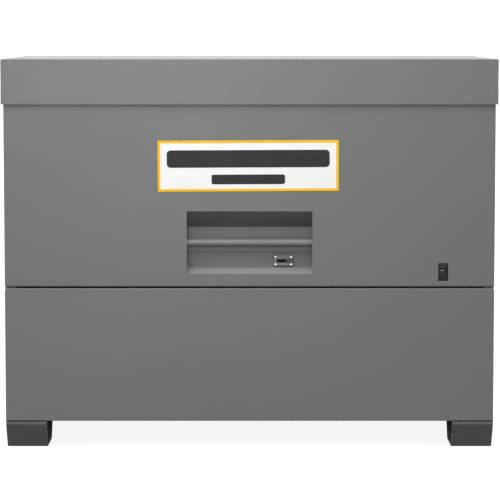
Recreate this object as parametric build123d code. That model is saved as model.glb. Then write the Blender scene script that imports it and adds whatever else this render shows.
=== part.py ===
from build123d import *
import math
import os

# Piano-lid tool chest of folded sheet steel on four bent feet, in millimetres.
# X runs to the right, Y to the back and Z up. The origin is on the floor, under the middle.

# ---- driving dimensions ----
WIDTH = 1524.0            # body, outside of the side panels
DEPTH = 762.0             # body, front panel face to back panel face
HEIGHT = 1219.0           # floor to lid top
SHEET = 1.9               # 14 gauge body steel
FOOT_SHEET = 4.8          # 7 gauge foot steel
BEND = 3.0                # mid-line radius of a folded edge
FOOT_HEIGHT = 89.0
FOOT_WIDTH = 127.0
FOOT_DEPTH = 240.0        # along the foot's top
FOOT_RAKE = 53.0          # how far each leg of the foot slants
BIN_TOP = 506.5           # top of the fixed lower front
DOOR_GAP = 5.0            # between the fixed front and the lifting front
LID_OVERHANG = 9.3        # lid past the body at the front
LID_SIDE_OVERHANG = 7.3   # and at each side
LID_SKIRT = 140.0         # height of the lid's front and side walls
HINGE_Z = 1184.0
BARREL_R = 4.65
PIN_R = 2.5
PIN_GAP = 0.06            # radial running clearance on every pin
KNUCKLE_COUNT = 20
RECESS_HALF_W = 195.5
RECESS_BOTTOM = 551.4
RECESS_TOP = 746.9
RECESS_DEPTH = 62.0
CEILING_BACK_Z = 694.0    # the sloping ceiling meets the back plate here
FLOOR_BACK_Z = 570.0      # and the sloping floor here
LAP_Z = 616.0             # lower edge of the recess's upper back plate
BAR_R = 12.5
BAR_Y = 30.0              # bar's middle behind the front panel's face
BAR_Z = 646.5
SLOT_X = (85.0, 135.0)    # latch slot
SLOT_Z = (582.0, 593.0)
CASE_Z = (571.0, 605.0)   # raised latch case
CASE_PROUD = 12.0
LOCK_X = (587.0, 618.0)   # padlock window
LOCK_Z = (529.7, 585.4)
LOCK_DEPTH = 38.0
STAPLE_R = 2.75
BOLT_R = 5.0
KEEPER_X = (36.0, 40.0)   # keeper plate
GUIDE_XS = (62.0, 140.0)  # left faces of the two bolt guides
LABEL_SIZE = (561.0, 0.6, 158.0)
LABEL_PLACE = (-4.0, 888.6)     # label's middle, in X and Z
LABEL_TURN = -0.28        # degrees out of level
TRAY_RIM = 26.0           # height of the floor tray's edges
SHELF_FRONT = 90.0        # front edge of the rear shelf
SHELF_LIP = 30.0          # depth of its folded front edge
STIFFENER_YS = (-190.0, 60.0)
STIFFENER_HALF_W = 660.0
GUSSET_X = 676.0          # inner face of each plate between the lifting front and the lid
RIVET_R = 2.0             # hinge rivet shanks
LEAF_SHEET = 2.0
STRUT_X = 718.0           # plane of each gas spring
STRUT_LOW = (-60.0, -255.0)     # lower stud from the hinge pin, in Y and Z
STRUT_HIGH = (-240.0, -35.0)    # upper stud from the hinge pin, lid shut
LID_OPEN = 80.0           # degrees

# ---- derived places ----
HALF_W = WIDTH / 2
FRONT = -DEPTH / 2
BACK = DEPTH / 2
HALF_SHEET = SHEET / 2
LID_HALF_W = HALF_W + LID_SIDE_OVERHANG
LID_FRONT = FRONT - LID_OVERHANG
LID_UNDER = HEIGHT - SHEET
LID_SKIRT_BOTTOM = HEIGHT - LID_SKIRT
DOOR_BOTTOM = BIN_TOP + DOOR_GAP
HINGE_Y = BACK + BARREL_R
SIDE_IN = HALF_W - SHEET
PANEL_IN = FRONT + SHEET              # inner face of both front panels
JAMB_Y = FRONT + 14.0                 # front face of the side panels' front flange
JAMB_X = HALF_W - 32.0                # inner edge of that flange
SIDE_TOP = HEIGHT - 14.0
BACK_TOP = HINGE_Z - 4.0
SHELF_Z = 700.0
BACKPLATE_Y = FRONT + RECESS_DEPTH    # front face of the recess's upper back plate
BOLT_Y = BACKPLATE_Y + 16.0
BOLT_Z = sum(SLOT_Z) / 2
STAPLE_Y = FRONT + 25.0
STAPLE_Z = 560.0
BRACKET_X = (LOCK_X[0] - 4, LOCK_X[1] + 4)
BRACKET_Y = FRONT + 45.0


# ---- helpers ----
def block(x, y, z):
    """Box from three (low, high) pairs."""
    size = [high - low for low, high in (x, y, z)]
    middle = [(high + low) / 2 for low, high in (x, y, z)]
    return Pos(*middle) * Box(*size)


def folded(points, thickness, plane, start, length, radius=BEND):
    """Folded sheet: a mid-line profile with bend radii, run along the plane's normal."""
    profile = trace(FilletPolyline(*points, radius=radius), line_width=thickness)
    return extrude(plane.offset(start) * profile, amount=length)


def plate(points, plane, start, thickness):
    """Flat plate with a straight-sided outline."""
    return extrude(plane.offset(start) * make_face(Polyline(*points, close=True)), amount=thickness)


def rod(x, y, z, radius, axis, length):
    """Round bar that starts at a point and runs along an axis."""
    plane = Plane(origin=(x, y, z), z_dir=axis)
    return extrude(plane * Circle(radius), amount=length)


def dome(x, y, z, radius, height, axis):
    """Low domed fastener head that stands on a face."""
    head = rod(x, y, z, radius, axis, height)
    return fillet(head.edges().filter_by(GeomType.CIRCLE).sort_by_distance((x, y, z))[-1], height * 0.8)


def both_sides(shape):
    """A shape and its mirror image across the middle of the chest."""
    return shape + mirror(shape, about=Plane.YZ)


def save(name, *shapes):
    solids = [solid for shape in shapes for solid in shape.solids()]
    export_step(Compound(children=solids) if len(solids) > 1 else solids[0], f"parts/{name}.step")


# ---- fixed body ----
def side_panel():
    """Right wall: front, rear and top edges folded inwards."""
    x = HALF_W - HALF_SHEET
    rear = BACK - SHEET - HALF_SHEET
    front = JAMB_Y + HALF_SHEET
    profile = [(x - 24, rear), (x, rear), (x, front), (JAMB_X, front)]
    wall = folded(profile, SHEET, Plane.XY, FOOT_HEIGHT, SIDE_TOP - FOOT_HEIGHT)
    rim = block((x - 24, x), (JAMB_Y + 12, rear - 6), (SIDE_TOP - SHEET, SIDE_TOP))
    hole_y = HINGE_Y + STRUT_LOW[0]
    hole = rod(SIDE_IN - 5, hole_y, HINGE_Z + STRUT_LOW[1], 4.0, (1, 0, 0), 12)
    return wall + rim - hole


def lower_front_panel():
    """Fixed front of the bin, with a deep top ledge and short returns at the sides."""
    z_top = BIN_TOP - HALF_SHEET
    y = FRONT + HALF_SHEET
    profile = [(JAMB_Y + SHEET, FOOT_HEIGHT + HALF_SHEET), (y, FOOT_HEIGHT + HALF_SHEET), (y, z_top),
               (y + 95, z_top), (y + 95, z_top - 22)]
    panel = folded(profile, SHEET, Plane.YZ, -HALF_W, WIDTH)
    returns = block((SIDE_IN, HALF_W), (FRONT + 1, JAMB_Y), (FOOT_HEIGHT + 3, BIN_TOP - 8))
    notch = block((JAMB_X - 0.5, HALF_W + 1), (JAMB_Y, FRONT + 110), (FOOT_HEIGHT - 1, BIN_TOP + 1))
    corner = plate([(HALF_W - 6, BIN_TOP + 1), (HALF_W + 1, BIN_TOP + 1), (HALF_W + 1, BIN_TOP - 6)],
                   Plane.XZ, -FRONT - 12, 14)
    return panel + both_sides(returns) - both_sides(notch) - both_sides(corner)


def back_panel():
    panel = block((-HALF_W, HALF_W), (BACK - SHEET, BACK), (FOOT_HEIGHT, BACK_TOP))
    return panel - leaf_rivet_holes(HINGE_Z - 26)


def base_pan():
    """Floor tray that stands inside the walls."""
    y = (JAMB_Y + SHEET, BACK - 2 * SHEET)
    outer = block((-SIDE_IN, SIDE_IN), y, (FOOT_HEIGHT, FOOT_HEIGHT + TRAY_RIM))
    inner = block((SHEET - SIDE_IN, SIDE_IN - SHEET), (y[0] + SHEET, y[1] - SHEET),
                  (FOOT_HEIGHT + SHEET, FOOT_HEIGHT + TRAY_RIM + 1))
    return fillet(outer.edges().filter_by(Axis.Z), 5) - fillet(inner.edges().filter_by(Axis.Z), 5 - SHEET)


def foot():
    """Front right foot: a flat top, two slanting legs and a flat sole, bent from one strap."""
    half = FOOT_SHEET / 2
    front = FRONT - 4 + half
    top = FOOT_HEIGHT - half
    toe = (front + FOOT_RAKE, half)
    heel = (front + FOOT_DEPTH - FOOT_RAKE, half)
    inner = HALF_W - FOOT_WIDTH
    strap = [(front + FOOT_DEPTH, top), (front, top), toe, heel]
    shape = folded(strap, FOOT_SHEET, Plane.YZ, inner, FOOT_WIDTH, radius=7)
    leg = folded([toe, heel, (front + FOOT_DEPTH, top + 1)], FOOT_SHEET, Plane.YZ, inner, FOOT_WIDTH,
                 radius=7)
    above = block((inner - 3, HALF_W + 3), (FRONT, FRONT + 300), (FOOT_HEIGHT - FOOT_SHEET, 130))
    return shape + (leg - above)


def shelf():
    """Full-width rear shelf with its front edge folded down."""
    z = SHELF_Z + HALF_SHEET
    profile = [(BACK - 2 * SHEET, z), (SHELF_FRONT, z), (SHELF_FRONT, z - SHELF_LIP),
               (SHELF_FRONT + 10, z - SHELF_LIP)]
    return folded(profile, SHEET, Plane.YZ, 3 - SIDE_IN, 2 * SIDE_IN - 6)


def shelf_bracket():
    """Angle under the right end of the shelf."""
    profile = [(SIDE_IN - 30, SHELF_Z - HALF_SHEET), (SIDE_IN - HALF_SHEET, SHELF_Z - HALF_SHEET),
               (SIDE_IN - HALF_SHEET, SHELF_Z - 32)]
    return folded(profile, SHEET, Plane.XZ, -(BACK - 12), 260)


# ---- rear piano hinge ----
KNUCKLE_PITCH = 2 * (HALF_W - 8) / KNUCKLE_COUNT
RIVET_XS = [-HALF_W + 40 + i * (WIDTH - 80) / 11 for i in range(12)]


def leaf_rivet_holes(z):
    return [rod(x, BACK - 3, z, RIVET_R, (0, 1, 0), 8) for x in RIVET_XS]


def leaf_rivets(z):
    heads = [dome(x, BACK + LEAF_SHEET, z, 4.2, 1.6, (0, 1, 0)) for x in RIVET_XS]
    shanks = [rod(x, BACK - SHEET, z, RIVET_R, (0, 1, 0), SHEET + LEAF_SHEET + 0.1) for x in RIVET_XS]
    return [head + shank for head, shank in zip(heads, shanks)]


def hinge_leaf(first, plate_z, web_z):
    """One leaf with every second knuckle, from the knuckle numbered first."""
    half = HALF_W - 8
    leaf = block((-half, half), (BACK, BACK + LEAF_SHEET), plate_z)
    for i in range(first, KNUCKLE_COUNT, 2):
        x0 = -half + i * KNUCKLE_PITCH + 0.3
        run = KNUCKLE_PITCH - 0.6
        leaf += block((x0, x0 + run), (BACK, BACK + LEAF_SHEET), web_z)
        leaf += rod(x0, HINGE_Y, HINGE_Z, BARREL_R, (1, 0, 0), run)
    bore = rod(-HALF_W, HINGE_Y, HINGE_Z, PIN_R + PIN_GAP, (1, 0, 0), WIDTH)
    return leaf - bore - leaf_rivet_holes(sum(plate_z) / 2)


# ---- lock and latch pieces on the body ----
def lock_bracket():
    """Angle on the bin ledge that carries the padlock staple."""
    upright = block(BRACKET_X, (BRACKET_Y, BRACKET_Y + 3), (BIN_TOP, STAPLE_Z + 15))
    base = block(BRACKET_X, (BRACKET_Y, BRACKET_Y + 34), (BIN_TOP, BIN_TOP + 3))
    return upright + base


def lock_staple():
    """Bent rod loop that the padlock's shackle goes round."""
    x0 = LOCK_X[0] + 4
    x1 = LOCK_X[1] - 4
    ends = [(x0, BRACKET_Y, STAPLE_Z), (x0, STAPLE_Y, STAPLE_Z), (x1, STAPLE_Y, STAPLE_Z),
            (x1, BRACKET_Y, STAPLE_Z)]
    path = FilletPolyline(*ends, radius=5)
    return sweep(Plane(origin=path @ 0, z_dir=path % 0) * Circle(STAPLE_R), path=path)


def latch_keeper():
    """Upright on the bin ledge with a hole for the bolt."""
    upright = block(KEEPER_X, (BOLT_Y - 10, BOLT_Y + 11), (BIN_TOP, BOLT_Z + 14))
    base = block((KEEPER_X[0] - 28, KEEPER_X[1]), (BOLT_Y - 10, BOLT_Y + 11), (BIN_TOP, BIN_TOP + 4))
    return upright + base - rod(KEEPER_X[0] - 6, BOLT_Y, BOLT_Z, BOLT_R + 1.5, (1, 0, 0), 14)


# ---- lid and lifting front ----
def lid_cover():
    """Deep lid: top sheet, front and side skirts, and a short rear edge above the hinge."""
    outer = block((-LID_HALF_W, LID_HALF_W), (LID_FRONT, BACK), (LID_SKIRT_BOTTOM, HEIGHT))
    outer = fillet(outer.edges().filter_by(Axis.Z), 3)
    outer = fillet(outer.faces().sort_by(Axis.Z)[-1].edges(), 2.8)
    inner = block((SHEET - LID_HALF_W, LID_HALF_W - SHEET), (LID_FRONT + SHEET, BACK - SHEET),
                  (LID_SKIRT_BOTTOM - 1, LID_UNDER))
    rear_gap = block((SHEET - LID_HALF_W, LID_HALF_W - SHEET), (BACK - 3, BACK + 1),
                     (LID_SKIRT_BOTTOM - 1, HINGE_Z + 2))
    return outer - inner - rear_gap - leaf_rivet_holes(HINGE_Z + 19)


def lid_stiffener(y):
    """Hat section across the underside of the lid."""
    z = LID_UNDER - HALF_SHEET
    profile = [(y - 32, z), (y - 18, z), (y - 14, z - 24), (y + 14, z - 24), (y + 18, z), (y + 32, z)]
    return folded(profile, SHEET, Plane.YZ, -STIFFENER_HALF_W, 2 * STIFFENER_HALF_W, radius=2)


def front_panel():
    """Lifting front, open at the hand recess and the padlock window."""
    y = FRONT + HALF_SHEET
    z_top = LID_UNDER - HALF_SHEET
    z_low = DOOR_BOTTOM + HALF_SHEET
    profile = [(y + 35, z_top), (y, z_top), (y, z_low), (y + 28, z_low), (y + 28, z_low + 12)]
    panel = folded(profile, SHEET, Plane.YZ, -HALF_W, WIDTH)
    returns = block((SIDE_IN, HALF_W), (FRONT + 1, JAMB_Y - 1), (DOOR_BOTTOM + 4, SIDE_TOP + 8))
    notch = block((JAMB_X - 3, HALF_W + 1), (JAMB_Y - 1, FRONT + 50), (DOOR_BOTTOM - 1, HEIGHT))
    hand_window = block((-RECESS_HALF_W, RECESS_HALF_W), (FRONT - 1, PANEL_IN + 1),
                        (RECESS_BOTTOM, RECESS_TOP))
    lock_window = block(LOCK_X, (FRONT - 1, PANEL_IN + 1), LOCK_Z)
    return panel + both_sides(returns) - both_sides(notch) - hand_window - lock_window


def panel_gusset():
    """Right-hand plate between the lifting front and the lid."""
    under_flange = LID_UNDER - SHEET
    outline = [(PANEL_IN, 1100), (PANEL_IN, under_flange - 5), (PANEL_IN + 5, under_flange),
               (FRONT + 37, under_flange),
               (FRONT + 37, LID_UNDER), (-250, LID_UNDER)]
    return plate(outline, Plane.YZ, GUSSET_X, 3)


def panel_stiffener():
    """Upright hat section behind the right half of the lifting front."""
    y = PANEL_IN + HALF_SHEET
    profile = [(415, y), (430, y), (434, y + 26), (466, y + 26), (470, y), (485, y)]
    return folded(profile, SHEET, Plane.XY, DOOR_BOTTOM + 20, 675, radius=2)


# ---- hand recess ----
PAN_Y = PANEL_IN + HALF_SHEET                       # mid-line of the lips on the front panel
UPPER_Y = BACKPLATE_Y + HALF_SHEET
LOWER_Y = UPPER_Y + SHEET


def recess_upper_pan():
    """Sloping ceiling and the upper back plate behind the handle bar."""
    profile = [(PAN_Y, RECESS_TOP + 22), (PAN_Y, RECESS_TOP + 1.6), (UPPER_Y, CEILING_BACK_Z),
               (UPPER_Y, LAP_Z)]
    return folded(profile, SHEET, Plane.YZ, -RECESS_HALF_W, 2 * RECESS_HALF_W, radius=2)


def recess_lower_pan():
    """Lower back plate, lapped behind the upper one, and the sloping floor."""
    profile = [(LOWER_Y, LAP_Z + 15), (LOWER_Y, FLOOR_BACK_Z), (PAN_Y, RECESS_BOTTOM - 1.6),
               (PAN_Y, RECESS_BOTTOM - 20)]
    pan = folded(profile, SHEET, Plane.YZ, -RECESS_HALF_W, 2 * RECESS_HALF_W, radius=2)
    return pan - block(SLOT_X, (LOWER_Y - 3, LOWER_Y + 3), SLOT_Z)


def recess_cheek():
    """Right end plate of the recess, with a lip on the front panel."""
    back = LOWER_Y + HALF_SHEET
    outline = [(PANEL_IN, RECESS_TOP + 15), (back, CEILING_BACK_Z + 6), (back, FLOOR_BACK_Z - 4),
               (PANEL_IN, RECESS_BOTTOM - 11.4)]
    lip = block((RECESS_HALF_W, RECESS_HALF_W + 20), (PANEL_IN, PANEL_IN + SHEET), (545, 757))
    return plate(outline, Plane.YZ, RECESS_HALF_W, SHEET) + lip


def latch_case():
    """Raised cover over the latch slot."""
    face = LOWER_Y - HALF_SHEET
    x = (SLOT_X[0] - 8.4, SLOT_X[1] + 2.8)
    case = block(x, (face - CASE_PROUD, face), CASE_Z)
    case = fillet(case.faces().sort_by(Axis.Y)[0].edges(), 1.2)
    wall = 1.5
    case -= block((x[0] + wall, x[1] - wall), (face - CASE_PROUD + wall, face + 1),
                  (CASE_Z[0] + wall, CASE_Z[1] - wall))
    case -= block(SLOT_X, (face - CASE_PROUD - 1, face - CASE_PROUD + 3), SLOT_Z)
    return case - [rod(rx, face - CASE_PROUD - 1, rz, 1.6, (0, 1, 0), 4) for rx, rz in latch_rivet_places()]


def latch_rivet_places():
    return [(x, z) for x in (81.5, 130.5) for z in (CASE_Z[0] + 5, CASE_Z[1] - 5)]


def latch_rivets():
    face = LOWER_Y - HALF_SHEET - CASE_PROUD
    return [dome(x, face, z, 3.0, 1.5, (0, -1, 0)) + rod(x, face, z, 1.6, (0, 1, 0), 1.5)
            for x, z in latch_rivet_places()]


def lock_pocket():
    """Padlock well behind the front panel, open at the back below the staple."""
    back = FRONT + LOCK_DEPTH + SHEET
    outer = block((LOCK_X[0] - SHEET, LOCK_X[1] + SHEET), (PANEL_IN, back),
                  (LOCK_Z[0] - SHEET, LOCK_Z[1] + SHEET))
    lip = block((LOCK_X[0] - 10, LOCK_X[1] + 10), (PANEL_IN, PANEL_IN + SHEET),
                (LOCK_Z[0] - 8, LOCK_Z[1] + 10))
    well = block(LOCK_X, (FRONT, FRONT + LOCK_DEPTH), LOCK_Z)
    way_out = block(LOCK_X, (FRONT, back + 1), (LOCK_Z[0], STAPLE_Z + 5))
    return outer + lip - well - way_out


def label_plate():
    """Thin name plate, turned very slightly out of level as it was stuck on."""
    sheet = Box(*LABEL_SIZE)
    sheet = fillet(sheet.edges().filter_by(Axis.Y), 1.5)
    return Pos(LABEL_PLACE[0], FRONT - LABEL_SIZE[1] / 2, LABEL_PLACE[1]) * Rot(0, LABEL_TURN, 0) * sheet


# ---- slide latch ----
def bolt_guides():
    """Two drilled blocks that hold the bolt behind the recess."""
    y = (LOWER_Y + HALF_SHEET, BOLT_Y + 10)
    guides = [block((x, x + 5), y, (BOLT_Z - 10, BOLT_Z + 10)) for x in GUIDE_XS]
    bore = rod(50, BOLT_Y, BOLT_Z, BOLT_R + PIN_GAP, (1, 0, 0), 110)
    return [guide - bore for guide in guides]


def latch_bolt():
    bolt = rod(47, BOLT_Y, BOLT_Z, BOLT_R, (1, 0, 0), 128)
    return chamfer(bolt.edges().filter_by(GeomType.CIRCLE), 1)


def latch_tab():
    """Finger tab welded to the bolt, standing out through the slot."""
    tab = block((SLOT_X[1] - 20, SLOT_X[1] - 1), (LOWER_Y - HALF_SHEET - 15, BOLT_Y),
                (SLOT_Z[0] + 1, SLOT_Z[1] - 1))
    return tab - rod(50, BOLT_Y, BOLT_Z, BOLT_R, (1, 0, 0), 110)


# ---- gas springs ----
LOW = (HINGE_Y + STRUT_LOW[0], HINGE_Z + STRUT_LOW[1])
HIGH = (HINGE_Y + STRUT_HIGH[0], HINGE_Z + STRUT_HIGH[1])
SHUT_LENGTH = math.dist(LOW, HIGH)
STRUT_DIR = (0, (HIGH[0] - LOW[0]) / SHUT_LENGTH, (HIGH[1] - LOW[1]) / SHUT_LENGTH)
OPEN_ANGLE = math.radians(LID_OPEN)
OPEN_HIGH = (STRUT_HIGH[0] * math.cos(OPEN_ANGLE) + STRUT_HIGH[1] * math.sin(OPEN_ANGLE),
             -STRUT_HIGH[0] * math.sin(OPEN_ANGLE) + STRUT_HIGH[1] * math.cos(OPEN_ANGLE))
STROKE = math.dist(OPEN_HIGH, STRUT_LOW) - SHUT_LENGTH
TUBE_END = SHUT_LENGTH - 26


def along(distance):
    """Point on the right gas spring, measured from its lower stud."""
    return STRUT_X, LOW[0] + STRUT_DIR[1] * distance, LOW[1] + STRUT_DIR[2] * distance


def strut_stud():
    """Lower stud, riveted through the right wall."""
    stud = rod(STRUT_X - 10, *LOW, 4.0, (1, 0, 0), SIDE_IN + SHEET - STRUT_X + 10)
    collar = rod(STRUT_X + 11, *LOW, 8.0, (1, 0, 0), SIDE_IN - STRUT_X - 11)
    return stud + collar


def strut_cylinder():
    """Gas spring tube with an eye on the lower stud."""
    tube = rod(*along(6), 10.0, STRUT_DIR, TUBE_END - 6)
    tube = chamfer(tube.edges().filter_by(GeomType.CIRCLE).sort_by_distance(along(TUBE_END))[0], 1.5)
    tube -= rod(*along(18), 5.0 + PIN_GAP, STRUT_DIR, TUBE_END)
    eye = rod(STRUT_X - 9, *LOW, 11.0, (1, 0, 0), 18)
    return tube + eye - rod(STRUT_X - 20, *LOW, 4.0 + PIN_GAP, (1, 0, 0), 40)


def strut_rod():
    """Gas spring rod with an eye and its own ball pin at the lid end."""
    start = TUBE_END - STROKE - 24
    shaft = rod(*along(start), 5.0, STRUT_DIR, SHUT_LENGTH - start)
    eye = rod(STRUT_X - 6, *HIGH, 9.0, (1, 0, 0), 12)
    pin = rod(STRUT_X - 11.5, *HIGH, 4.0, (1, 0, 0), 8)
    return shaft + eye + pin


def strut_bracket():
    """Plate under the lid that the ball pin stands against."""
    x = (STRUT_X - 15, STRUT_X - 12)
    hanger = block(x, (HIGH[0] - 14, HIGH[0] + 14), (HIGH[1] - 14, LID_UNDER))
    foot_flange = block((x[0] - 22, x[1]), (HIGH[0] - 14, HIGH[0] + 14), (LID_UNDER - 3, LID_UNDER))
    return hanger + foot_flange


def main():
    os.makedirs("parts", exist_ok=True)
    pairs = {"side_panel": side_panel(), "shelf_bracket": shelf_bracket(), "strut_stud": strut_stud(),
             "panel_gusset": panel_gusset(), "panel_stiffener": panel_stiffener(),
             "recess_cheek": recess_cheek(), "strut_cylinder": strut_cylinder(),
             "strut_rod": strut_rod(), "strut_bracket": strut_bracket(), "foot_front": foot(),
             "foot_rear": mirror(foot(), about=Plane.XZ)}
    for name, shape in pairs.items():
        save(f"right_{name}", shape)
        save(f"left_{name}", mirror(shape, about=Plane.YZ))
    low_plate = (HINGE_Z - 46, HINGE_Z - 6)
    high_plate = (HINGE_Z + 6, LID_UNDER - 1.1)
    save("hinge_body_leaf", hinge_leaf(0, low_plate, (HINGE_Z - 7, HINGE_Z)))
    save("hinge_lid_leaf", hinge_leaf(1, high_plate, (HINGE_Z, HINGE_Z + 7)))
    save("hinge_pin", rod(-HALF_W + 8, HINGE_Y, HINGE_Z, PIN_R, (1, 0, 0), WIDTH - 16))
    save("hinge_body_rivets", *leaf_rivets(sum(low_plate) / 2))
    save("hinge_lid_rivets", *leaf_rivets(sum(high_plate) / 2))
    save("latch_rivets", *latch_rivets())
    save("bolt_guides", *bolt_guides())
    save("front_lid_stiffener", lid_stiffener(STIFFENER_YS[0]))
    save("rear_lid_stiffener", lid_stiffener(STIFFENER_YS[1]))
    save("handle_bar", rod(-RECESS_HALF_W, FRONT + BAR_Y, BAR_Z, BAR_R, (1, 0, 0), 2 * RECESS_HALF_W))
    singles = (lower_front_panel, back_panel, base_pan, shelf, lock_bracket, lock_staple, latch_keeper,
               lid_cover, front_panel, recess_upper_pan, recess_lower_pan, latch_case, lock_pocket,
               label_plate, latch_bolt, latch_tab)
    for make in singles:
        save(make.__name__, make())


main()
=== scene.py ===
import math

import bmesh
import bpy
from mathutils import Matrix, Vector


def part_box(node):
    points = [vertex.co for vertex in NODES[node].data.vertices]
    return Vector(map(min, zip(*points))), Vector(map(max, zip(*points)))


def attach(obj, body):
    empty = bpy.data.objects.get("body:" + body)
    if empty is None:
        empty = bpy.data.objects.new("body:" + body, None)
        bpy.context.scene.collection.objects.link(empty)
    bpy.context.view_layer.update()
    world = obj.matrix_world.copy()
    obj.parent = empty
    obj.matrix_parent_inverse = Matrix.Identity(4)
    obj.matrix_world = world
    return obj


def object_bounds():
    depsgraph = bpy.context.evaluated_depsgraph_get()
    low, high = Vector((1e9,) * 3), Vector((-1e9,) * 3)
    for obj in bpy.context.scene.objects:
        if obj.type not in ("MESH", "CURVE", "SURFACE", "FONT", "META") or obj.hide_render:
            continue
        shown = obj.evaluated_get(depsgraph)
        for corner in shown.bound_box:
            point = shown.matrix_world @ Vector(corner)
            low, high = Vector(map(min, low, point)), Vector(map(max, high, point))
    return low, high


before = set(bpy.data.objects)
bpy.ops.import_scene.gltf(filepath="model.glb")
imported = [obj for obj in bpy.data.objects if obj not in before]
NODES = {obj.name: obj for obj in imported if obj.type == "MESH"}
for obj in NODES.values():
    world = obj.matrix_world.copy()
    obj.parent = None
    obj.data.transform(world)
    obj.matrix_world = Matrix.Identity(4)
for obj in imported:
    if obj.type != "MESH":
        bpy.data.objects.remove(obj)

CAD_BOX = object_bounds()

# ---- places worked out from the frame, in metres ----
LID_FRONT = CAD_BOX[0].y
LABEL_LOW, LABEL_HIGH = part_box("label_plate")
LABEL_CENTRE = (LABEL_LOW + LABEL_HIGH) / 2
BACK_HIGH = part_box("back_panel")[1]
FOOT_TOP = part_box("right_foot_front")[1].z

# ---- sizes of what is added here, in metres ----
LABEL_WIDTH = 0.561
LABEL_HEIGHT = 0.158
LABEL_TURN = math.radians(-0.28)
BORDER = 0.0078
BORDER_OUTER_RADIUS = 0.0022
BORDER_INNER_RADIUS = 0.0012
BAR_ROUNDING = 0.22        # corner radius as a share of a bar's height
CORNER_STEPS = 6
PRINT_THICKNESS = 0.00035

BEAD_LENGTH = 0.045
BEAD_STEP = 0.0016
BEAD_SIDES = 8
BEAD_END = 0.05            # square of the radius left at a bead's two ends, as a share
BEAD_BLUNTNESS = 8         # the higher, the shorter the rounding at the ends
RIPPLE_PITCH = 0.0042
RIPPLE_DEPTH = 0.13        # as a share of the bead's radius
CORNER_BEADS = 6
CORNER_BEAD_RADIUS = 0.0022
CORNER_BEAD_SINK = 0.0006
CORNER_BEAD_START = 0.13
CORNER_BEAD_SPACING = 0.19
FOOT_BEAD_RADIUS = 0.0024
FOOT_BEAD_SINK = 0.0004
FOOT_BEAD_YS = (-0.350, -0.200, 0.155, 0.305)

FLOOR_REACH = 40.0

# ---- heights where the paint changes, in metres ----
RECESS_FLOOR_BACK = 0.569  # the recess's sloping floor meets its back plate here
RECESS_LAP = 0.616         # the recess's upper back plate ends here, in front of the lower one
RECESS_LIP_HIGHLIGHT_TOP = 0.619         # top of the painted highlight strip along the upper plate's lower edge
PAINTED_LIGHT_BLEND = 0.003         # half the height over which the painted light fades out
# Painted shadow under the recess's lap: where it starts and where it is full.
LAP_SHADOW_START = 0.005        # below the lap
LAP_SHADOW_FULL = 0.002         # below the lap
DUST_TOP = 0.13

# ---- colours, linear ----
PAINT_GREY = 0.131
# grey of the painted light in the recess
PAINTED_LIGHT_GREY = 0.42
# grey of the painted shadow under the recess's lap
LAP_SHADOW_GREY = 0.03
DUST = (0.42, 0.40, 0.37)
FLOOR_GREYS = (0.26, 0.30)
FLOOR_GLOW = 0.86

# ---- camera and light ----
CAMERA_BACK = 7.0          # ahead of the lid's front face
CAMERA_HEIGHT = 1.316
CAMERA_TILT = math.radians(4.733)
CAMERA_LENS = 163.1
CAMERA_SHIFT = -0.07
CAMERA_SIDE = 0.0015       # to the right of the middle
KEY_POWER = 42.0
KEY_SIZE = 2.0
KEY_PLACE = (-0.3, -1.7, 2.7)
KEY_TARGET = (0, LID_FRONT, 0.8)
FILL_POWER = 18.0
FILL_SIZE = 1.2
FILL_PLACE = (-0.4, -3.6, 1.15)
FILL_TARGET = (0, LID_FRONT, 0.6)
DOME_GAIN = 2.0            # light from straight above; it falls to BOUNCE at the horizon
BOUNCE = 0.03              # light from the horizon and from below
BACKDROP = 1.65            # what the camera and the reflections see

# ---- shader nodes ----
MIX_FIRST = 6              # a colour Mix node's two inputs and its output, by number
MIX_SECOND = 7
MIX_RESULT = 2
BEVEL_SAMPLES = 4
NOISE_DRIFT = (1.0, 0.7, 1.3)


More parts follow.
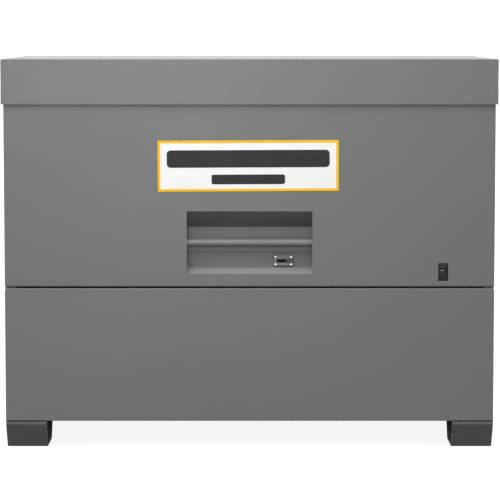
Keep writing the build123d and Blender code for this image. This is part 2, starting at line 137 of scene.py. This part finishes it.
# ---- material helpers ----
class Surface:
    """Builds one node material: a Principled shader with textures in object space."""

    def __init__(self, name, roughness, metallic=0.0, specular=0.5):
        self.material = bpy.data.materials.new(name)
        self.material.use_nodes = True
        self.tree = self.material.node_tree
        self.shader = self.tree.nodes["Principled BSDF"]
        self.shader.inputs["Metallic"].default_value = metallic
        self.shader.inputs["Roughness"].default_value = roughness
        self.shader.inputs["Specular IOR Level"].default_value = specular
        self.place = self.tree.nodes.new("ShaderNodeTexCoord").outputs["Object"]

    def link(self, output, target):
        self.tree.links.new(output, target)

    def noise(self, scale, detail, stretch=(1, 1, 1), offset=0.0):
        """Noise value; stretch squeezes it along each axis and offset moves it."""
        mapping = self.tree.nodes.new("ShaderNodeMapping")
        mapping.inputs["Scale"].default_value = stretch
        mapping.inputs["Location"].default_value = [offset * share for share in NOISE_DRIFT]
        self.link(self.place, mapping.inputs["Vector"])
        texture = self.tree.nodes.new("ShaderNodeTexNoise")
        texture.inputs["Scale"].default_value = scale
        texture.inputs["Detail"].default_value = detail
        self.link(mapping.outputs["Vector"], texture.inputs["Vector"])
        return texture.outputs["Fac"]

    def ramp(self, value, low, high, start=0.0, end=1.0):
        """Maps low..high of a value to start..end, clamped."""
        node = self.tree.nodes.new("ShaderNodeMapRange")
        node.inputs["From Min"].default_value = low
        node.inputs["From Max"].default_value = high
        node.inputs["To Min"].default_value = start
        node.inputs["To Max"].default_value = end
        self.link(value, node.inputs["Value"])
        return node.outputs["Result"]

    def multiply(self, first, second):
        node = self.tree.nodes.new("ShaderNodeMath")
        node.operation = "MULTIPLY"
        self.link(first, node.inputs[0])
        self.link(second, node.inputs[1])
        return node.outputs["Value"]

    def mix(self, factor, first, second):
        """Mixes two colours, each an RGB triple or another node's colour."""
        node = self.tree.nodes.new("ShaderNodeMix")
        node.data_type = "RGBA"
        self.link(factor, node.inputs["Factor"])
        for value, socket in ((first, node.inputs[MIX_FIRST]), (second, node.inputs[MIX_SECOND])):
            if isinstance(value, tuple):
                socket.default_value = (*value, 1.0)
            else:
                self.link(value, socket)
        return node.outputs[MIX_RESULT]

    def edges(self, radius, low, high):
        """One along sharp outer and inner edges, zero on the flats."""
        bevel = self.tree.nodes.new("ShaderNodeBevel")
        bevel.samples = BEVEL_SAMPLES
        bevel.inputs["Radius"].default_value = radius
        normal = self.tree.nodes.new("ShaderNodeNewGeometry").outputs["Normal"]
        dot = self.tree.nodes.new("ShaderNodeVectorMath")
        dot.operation = "DOT_PRODUCT"
        self.link(bevel.outputs["Normal"], dot.inputs[0])
        self.link(normal, dot.inputs[1])
        return self.ramp(dot.outputs["Value"], high, low)

    def height(self):
        """Height of a point of the object above the floor, at rest."""
        split = self.tree.nodes.new("ShaderNodeSeparateXYZ")
        self.link(self.place, split.inputs["Vector"])
        return split.outputs["Z"]

    def colour(self, value):
        self.link(value, self.shader.inputs["Base Color"])

    def roughness(self, value):
        self.link(value, self.shader.inputs["Roughness"])

    def bump(self, value, depth, strength):
        node = self.tree.nodes.new("ShaderNodeBump")
        node.inputs["Distance"].default_value = depth
        node.inputs["Strength"].default_value = strength
        self.link(value, node.inputs["Height"])
        self.link(node.outputs["Normal"], self.shader.inputs["Normal"])


def grey(value):
    return value, value, value


# ---- materials ----
def powder_coat(name, tone, wear, seed, painted_light_below=None, lap=None, specular=0.5):
    """Satin grey powder coat: faint mottling, orange peel, fine scuffs, floor dust, and edges made lighter
    for wear and as painted highlight.

    painted_light_below is a height and how much pale grey there is under it, as painted light. lap is the
    height of a lap with a thin line of painted shadow under it.
    """
    surface = Surface(name, roughness=0.42, specular=specular)
    base = PAINT_GREY * tone
    mottle = surface.ramp(surface.noise(2.4, 4, offset=seed), 0.3, 0.7)
    colour = surface.mix(mottle, grey(base * 0.98), grey(base * 1.02))
    speck = surface.ramp(surface.noise(420, 2, offset=seed), 0.25, 0.75, 0.0, 0.35)
    colour = surface.mix(speck, colour, grey(base * 1.16))
    streaks = surface.noise(26, 6, stretch=(1, 1, 0.12), offset=seed + 3)
    scuffs = surface.ramp(streaks, 0.62, 0.8, 0.0, 0.22 * wear)
    colour = surface.mix(scuffs, colour, grey(base * 1.5))
    # Edges lighter in worn patches: partly wear, partly painted highlight along bends and edges.
    edge_wear_and_highlight = surface.edges(radius=0.0016, low=0.75, high=0.98)
    worn_patches = surface.ramp(surface.noise(38, 5, offset=seed + 7), 0.42, 0.62, 0.0, wear)
    rubbed_and_highlit = surface.multiply(edge_wear_and_highlight, worn_patches)
    colour = surface.mix(rubbed_and_highlit, colour, (base * 1.55, base * 1.52, base * 1.48))
    dust_height = surface.ramp(surface.height(), 0.0, DUST_TOP, 0.12, 0.0)
    dust = surface.multiply(dust_height, surface.ramp(surface.noise(34, 6), 0.35, 0.75))
    colour = surface.mix(dust, colour, DUST)
    # Painted light: paler grey below a height, where light from above makes a surface look brighter.
    if painted_light_below:
        top, share = painted_light_below
        pale = surface.ramp(surface.height(), top - PAINTED_LIGHT_BLEND, top + PAINTED_LIGHT_BLEND, share, 0.0)
        colour = surface.mix(pale, colour, grey(PAINTED_LIGHT_GREY))
    # Painted shadow: a thin dark line just under the lap, where the upper plate's edge shades the lower
    # one.
    if lap:
        lap_shadow = surface.ramp(surface.height(), lap - LAP_SHADOW_START, lap - LAP_SHADOW_FULL, 0.0, 0.85)
        colour = surface.mix(lap_shadow, colour, grey(LAP_SHADOW_GREY))
    surface.colour(colour)
    surface.roughness(surface.ramp(surface.noise(9, 5, offset=seed + 11), 0.3, 0.7, 0.40, 0.46))
    surface.bump(surface.noise(340, 3, offset=seed), depth=0.00012, strength=0.55)
    return surface.material


def plated_steel(name, tone, roughness, stretch, seed=0.0):
    """Zinc-plated or bright steel with drawn streaks and dull patches."""
    surface = Surface(name, roughness, metallic=1.0)
    streak = surface.noise(160, 4, stretch=stretch, offset=seed)
    patches = surface.ramp(surface.noise(22, 5, offset=seed + 5), 0.35, 0.7)
    bright = surface.mix(surface.ramp(streak, 0.3, 0.7), grey(tone * 0.86), grey(tone * 1.06))
    surface.colour(surface.mix(patches, bright, (tone * 0.80, tone * 0.81, tone * 0.84)))
    surface.roughness(surface.ramp(streak, 0.3, 0.7, roughness - 0.07, roughness + 0.09))
    surface.bump(streak, depth=0.00006, strength=0.5)
    return surface.material


def black_enamel(name):
    """Semi-gloss black of the gas spring tubes, with fine handling marks."""
    surface = Surface(name, roughness=0.3)
    marks = surface.ramp(surface.noise(120, 6, stretch=(1, 1, 0.3)), 0.5, 0.8)
    surface.colour(surface.mix(marks, grey(0.014), grey(0.04)))
    surface.roughness(surface.ramp(surface.noise(60, 4), 0.3, 0.7, 0.24, 0.4))
    surface.bump(surface.noise(500, 2), depth=0.00004, strength=0.4)
    return surface.material


def printed_film(name, colour, darker, roughness, specular=0.5):
    """Vinyl label film: faint unevenness of the print and a soft sheen."""
    surface = Surface(name, roughness, specular=specular)
    cloud = surface.ramp(surface.noise(16, 4), 0.35, 0.65)
    grain = surface.ramp(surface.noise(900, 2), 0.3, 0.7, 0.0, 0.5)
    surface.colour(surface.mix(grain, surface.mix(cloud, colour, darker), darker))
    surface.roughness(surface.ramp(surface.noise(40, 3), 0.3, 0.7, roughness - 0.05, roughness + 0.08))
    surface.bump(surface.noise(70, 3), depth=0.00008, strength=0.3)
    return surface.material


def weld_metal(name):
    """Painted-over weld bead: the paint's grey with darker ripples."""
    surface = Surface(name, roughness=0.45)
    ripple = surface.ramp(surface.noise(260, 4), 0.3, 0.7)
    surface.colour(surface.mix(ripple, grey(PAINT_GREY * 0.8), grey(PAINT_GREY * 1.08)))
    surface.roughness(surface.ramp(ripple, 0.0, 1.0, 0.38, 0.55))
    surface.bump(surface.noise(420, 4), depth=0.0002, strength=0.7)
    return surface.material


def pale_floor(name):
    """Matt pale floor with a faint cloudiness and a glow of its own."""
    surface = Surface(name, roughness=0.8)
    cloud = surface.ramp(surface.noise(1.5, 3), 0.3, 0.7)
    darker, paler = FLOOR_GREYS
    surface.colour(surface.mix(cloud, grey(darker), grey(paler)))
    surface.shader.inputs["Emission Color"].default_value = (1, 1, 1, 1)
    surface.shader.inputs["Emission Strength"].default_value = FLOOR_GLOW
    return surface.material


def dress(material, *names):
    """Gives the named CAD nodes one material."""
    for name in names:
        mesh = NODES[name].data
        if len(mesh.materials) == 0:
            mesh.materials.append(material)
        for slot in NODES[name].material_slots:
            slot.material = material


def sides(*names):
    """Node names of the left and the right one of each part."""
    return [f"{side}_{name}" for side in ("left", "right") for name in names]


def dress_painted_nodes():
    # The lid, front and bin tones are lit and shaded copies of one grey paint: painted light and shade.
    dress(powder_coat("lid_paint", 1.015, 0.35, 0.0), "lid_cover")
    dress(powder_coat("front_paint", 0.94, 0.3, 4.0), "front_panel")
    dress(powder_coat("bin_paint", 0.955, 0.4, 9.0), "lower_front_panel")
    dress(powder_coat("wall_paint", 1.0, 0.4, 15.0), "back_panel", *sides("side_panel"))
    dress(powder_coat("recess_paint", 1.0, 0.5, 21.0), *sides("recess_cheek"))
    # Painted highlight: a paler strip along the upper plate's lower edge, where the edge catches light.
    dress(powder_coat("recess_ceiling_paint", 1.0, 0.5, 21.0, painted_light_below=(RECESS_LIP_HIGHLIGHT_TOP, 0.13)),
          "recess_upper_pan")
    # Painted light: the sloping floor, lit from above, is paler below its back edge.
    dress(powder_coat("recess_floor_paint", 1.0, 0.5, 22.0, painted_light_below=(RECESS_FLOOR_BACK, 0.32),
                      # Painted shadow: the dark line under the lap.
                      lap=RECESS_LAP), "recess_lower_pan")
    # Painted shade: the lock pocket and its bracket are near black, for the deep shade in the pocket.
    dress(powder_coat("pocket_paint", 0.2, 0.3, 24.0), "lock_pocket", "lock_bracket")
    dress(powder_coat("case_paint", 1.12, 0.9, 29.0), "latch_case")
    # The bar's tone is raised as painted light, for its bright lit top.
    dress(powder_coat("bar_paint", 1.05, 0.8, 26.0), "handle_bar")
    # Painted shade: the feet get a darker copy of the grey paint, for their shaded fronts.
    dress(powder_coat("foot_paint", 0.78, 1.0, 31.0, specular=0.22), *sides("foot_front", "foot_rear"))
    dress(powder_coat("inner_paint", 0.95, 0.6, 37.0), "base_pan", "shelf", "front_lid_stiffener",
          "rear_lid_stiffener", *sides("shelf_bracket", "panel_gusset", "panel_stiffener", "strut_bracket"))
    dress(powder_coat("hinge_paint", 0.97, 0.9, 44.0), "hinge_body_leaf", "hinge_lid_leaf")


def dress_metal_nodes():
    dress(plated_steel("zinc_plate", 0.42, 0.38, (0.08, 1, 1)), "hinge_pin", "latch_keeper",
          "bolt_guides", *sides("strut_stud"))
    # Near-black steel for the tab and the bolt; on the bolt it is painted shade, so that the slot reads
    # black.
    dress(plated_steel("tab_steel_and_slot_shade", 0.06, 0.45, (1, 1, 0.1), 8.0), "latch_tab", "latch_bolt")
    dress(plated_steel("staple_steel", 0.20, 0.42, (0.1, 1, 1), 12.0), "lock_staple")
    dress(plated_steel("rivet_steel", 0.86, 0.28, (1, 1, 1), 17.0), "latch_rivets", "hinge_body_rivets",
          "hinge_lid_rivets")
    dress(plated_steel("rod_chrome", 0.80, 0.14, (1, 0.05, 0.05), 23.0), *sides("strut_rod"))
    dress(black_enamel("tube_black"), *sides("strut_cylinder"))


# ---- mesh helpers ----
def add_piece(name, mesh_builder, material, body):
    """Makes a piece with a function that fills a bmesh, and lets it ride on a CAD body."""
    mesh = bpy.data.meshes.new(name)
    shape = bmesh.new()
    mesh_builder(shape)
    bmesh.ops.recalc_face_normals(shape, faces=shape.faces)
    shape.to_mesh(mesh)
    shape.free()
    piece = bpy.data.objects.new(name, mesh)
    bpy.context.collection.objects.link(piece)
    mesh.materials.append(material)
    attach(piece, body)
    return piece


def rounded_outline(width, height, radius):
    """Corner-rounded rectangle about the origin, as (x, z) points."""
    points = []
    for quarter, (sx, sz) in enumerate(((1, 1), (-1, 1), (-1, -1), (1, -1))):
        for step in range(CORNER_STEPS + 1):
            angle = (quarter + step / CORNER_STEPS) * math.pi / 2
            points.append((sx * (width / 2 - radius) + radius * math.cos(angle),
                           sz * (height / 2 - radius) + radius * math.sin(angle)))
    return points


def label_matrix(z):
    """Places a flat shape on the label's face, z above its middle, with the label's small turn."""
    face = Vector((LABEL_CENTRE.x, LABEL_LOW.y, LABEL_CENTRE.z))
    return Matrix.Translation(face) @ Matrix.Rotation(LABEL_TURN, 4, "Y") @ Matrix.Translation((0, 0, z))


def print_slab(shape, outer, inner, matrix):
    """Raised flat print: a slab, or a frame when it has an inner outline."""
    rings = []
    for outline in (outer, inner):
        if outline:
            rings.append([[shape.verts.new(matrix @ Vector((x, y, z))) for x, z in outline]
                          for y in (0.0, -PRINT_THICKNESS)])
    count = len(outer)
    for base, top in rings:
        for i in range(count):
            shape.faces.new((base[i], base[i - 1], top[i - 1], top[i]))
    if inner:
        for layer in (0, 1):
            for i in range(count):
                shape.faces.new((rings[0][layer][i], rings[0][layer][i - 1],
                                 rings[1][layer][i - 1], rings[1][layer][i]))
    else:
        for ring in rings[0]:
            shape.faces.new(ring)


# ---- the name label: white film, golden border and plain dark bars that spell nothing ----
def dress_label():
    dress(printed_film("label_white", (0.93, 0.925, 0.915), (0.89, 0.885, 0.875), 0.38), "label_plate")


def label_border():
    film = printed_film("label_yellow", (1.0, 0.58, 0.001), (0.95, 0.54, 0.001), 0.42, specular=0.15)
    outer = rounded_outline(LABEL_WIDTH, LABEL_HEIGHT, BORDER_OUTER_RADIUS)
    inner = rounded_outline(LABEL_WIDTH - 2 * BORDER, LABEL_HEIGHT - 2 * BORDER, BORDER_INNER_RADIUS)
    add_piece("label_border", lambda shape: print_slab(shape, outer, inner, label_matrix(0)),
              film, "lid")


def label_bars():
    """Each row gives a bar's place above the label's middle, its height and its width."""
    ink = printed_film("label_ink", (0.020, 0.019, 0.021), (0.028, 0.027, 0.029), 0.45, specular=0.15)
    rows = {"upper": (0.022, 0.054, 0.505), "lower": (-0.042, 0.030, 0.228)}
    for name, (z, height, width) in rows.items():
        outline = rounded_outline(width, height, height * BAR_ROUNDING)
        matrix = label_matrix(z)
        add_piece(f"label_bar_{name}", lambda shape: print_slab(shape, outline, None, matrix),
                  ink, "lid")


# ---- weld beads ----
def weld_bead(shape, start, along, radius):
    """Rippled bead that begins at a point, full along its middle and rounded at its ends."""
    rings = []
    steps = int(BEAD_LENGTH / BEAD_STEP)
    across = Vector((0, 0, 1)) if abs(along.z) < 0.5 else Vector((1, 0, 0))
    other = along.cross(across)
    turns = [side * 2 * math.pi / BEAD_SIDES for side in range(BEAD_SIDES)]
    for step in range(steps + 1):
        share = step / steps
        swell = math.sqrt(max(BEAD_END, 1 - (2 * share - 1) ** BEAD_BLUNTNESS))
        ripple = 1 + RIPPLE_DEPTH * math.sin(share * BEAD_LENGTH / RIPPLE_PITCH * 2 * math.pi)
        size = radius * swell * ripple
        middle = start + along * (BEAD_LENGTH * share)
        rings.append([shape.verts.new(middle + across * (size * math.cos(turn))
                                      + other * (size * math.sin(turn))) for turn in turns])
    for first, second in zip(rings, rings[1:]):
        for k in range(BEAD_SIDES):
            shape.faces.new((first[k - 1], first[k], second[k], second[k - 1]))
    shape.faces.new(rings[0])
    shape.faces.new(list(reversed(rings[-1])))


def back_corner_beads(shape):
    for side in (-1, 1):
        for i in range(CORNER_BEADS):
            start = Vector((side * (BACK_HIGH.x - CORNER_BEAD_SINK), BACK_HIGH.y - CORNER_BEAD_SINK,
                            CORNER_BEAD_START + i * CORNER_BEAD_SPACING))
            weld_bead(shape, start, Vector((0, 0, 1)), CORNER_BEAD_RADIUS)


def foot_beads(shape):
    for side in (-1, 1):
        for y in FOOT_BEAD_YS:
            start = Vector((side * (BACK_HIGH.x - FOOT_BEAD_SINK), y, FOOT_TOP))
            weld_bead(shape, start, Vector((0, 1, 0)), FOOT_BEAD_RADIUS)


def weld_beads():
    metal = weld_metal("weld_paint")
    for name, builder in (("back_corner_welds", back_corner_beads), ("foot_welds", foot_beads)):
        piece = add_piece(name, builder, metal, "box")
        piece.data.shade_smooth()


# ---- stage ----
def floor():
    mesh = bpy.data.meshes.new("floor")
    corners = [(-FLOOR_REACH, -FLOOR_REACH, 0), (FLOOR_REACH, -FLOOR_REACH, 0),
               (FLOOR_REACH, FLOOR_REACH, 0), (-FLOOR_REACH, FLOOR_REACH, 0)]
    mesh.from_pydata(corners, [], [(0, 1, 2, 3)])
    plane = bpy.data.objects.new("floor", mesh)
    bpy.context.collection.objects.link(plane)
    mesh.materials.append(pale_floor("floor_pale"))
    plane.visible_diffuse = False


def area_light(name, place, target, size, power):
    """Round soft light that faces its target."""
    lamp = bpy.data.lights.new(name, "AREA")
    lamp.shape = "DISK"
    lamp.size = size
    lamp.energy = power
    holder = bpy.data.objects.new(name, lamp)
    holder.location = place
    aim = Vector(target) - Vector(place)
    holder.rotation_euler = aim.to_track_quat("-Z", "Y").to_euler()
    bpy.context.collection.objects.link(holder)


def sky():
    """White backdrop; the light that reaches surfaces comes mostly from above and little from below."""
    world = bpy.data.worlds.new("studio")
    bpy.context.scene.world = world
    world.use_nodes = True
    tree = world.node_tree
    backdrop = tree.nodes["Background"]
    backdrop.inputs["Color"].default_value = (1, 1, 1, 1)
    backdrop.inputs["Strength"].default_value = BACKDROP
    dome = tree.nodes.new("ShaderNodeBackground")
    place = tree.nodes.new("ShaderNodeTexCoord")
    split = tree.nodes.new("ShaderNodeSeparateXYZ")
    height = tree.nodes.new("ShaderNodeMapRange")
    height.inputs["To Min"].default_value = BOUNCE
    height.inputs["To Max"].default_value = DOME_GAIN
    tree.links.new(place.outputs["Generated"], split.inputs["Vector"])
    tree.links.new(split.outputs["Z"], height.inputs["Value"])
    tree.links.new(height.outputs["Result"], dome.inputs["Strength"])
    path = tree.nodes.new("ShaderNodeLightPath")
    choice = tree.nodes.new("ShaderNodeMixShader")
    tree.links.new(path.outputs["Is Diffuse Ray"], choice.inputs["Fac"])
    tree.links.new(backdrop.outputs["Background"], choice.inputs[1])
    tree.links.new(dome.outputs["Background"], choice.inputs[2])
    tree.links.new(choice.outputs["Shader"], tree.nodes["World Output"].inputs["Surface"])


def camera():
    data = bpy.data.cameras.new("camera")
    data.lens = CAMERA_LENS
    data.shift_y = CAMERA_SHIFT
    eye = bpy.data.objects.new("camera", data)
    eye.location = (CAMERA_SIDE, LID_FRONT - CAMERA_BACK, CAMERA_HEIGHT)
    eye.rotation_euler = (math.pi / 2 - CAMERA_TILT, 0, 0)
    bpy.context.collection.objects.link(eye)
    bpy.context.scene.camera = eye


bpy.context.scene.view_settings.view_transform = "Standard"
dress_painted_nodes()
dress_metal_nodes()
dress_label()
label_border()
label_bars()
weld_beads()
floor()
sky()
area_light("key", KEY_PLACE, KEY_TARGET, KEY_SIZE, KEY_POWER)
area_light("fill", FILL_PLACE, FILL_TARGET, FILL_SIZE, FILL_POWER)
camera()
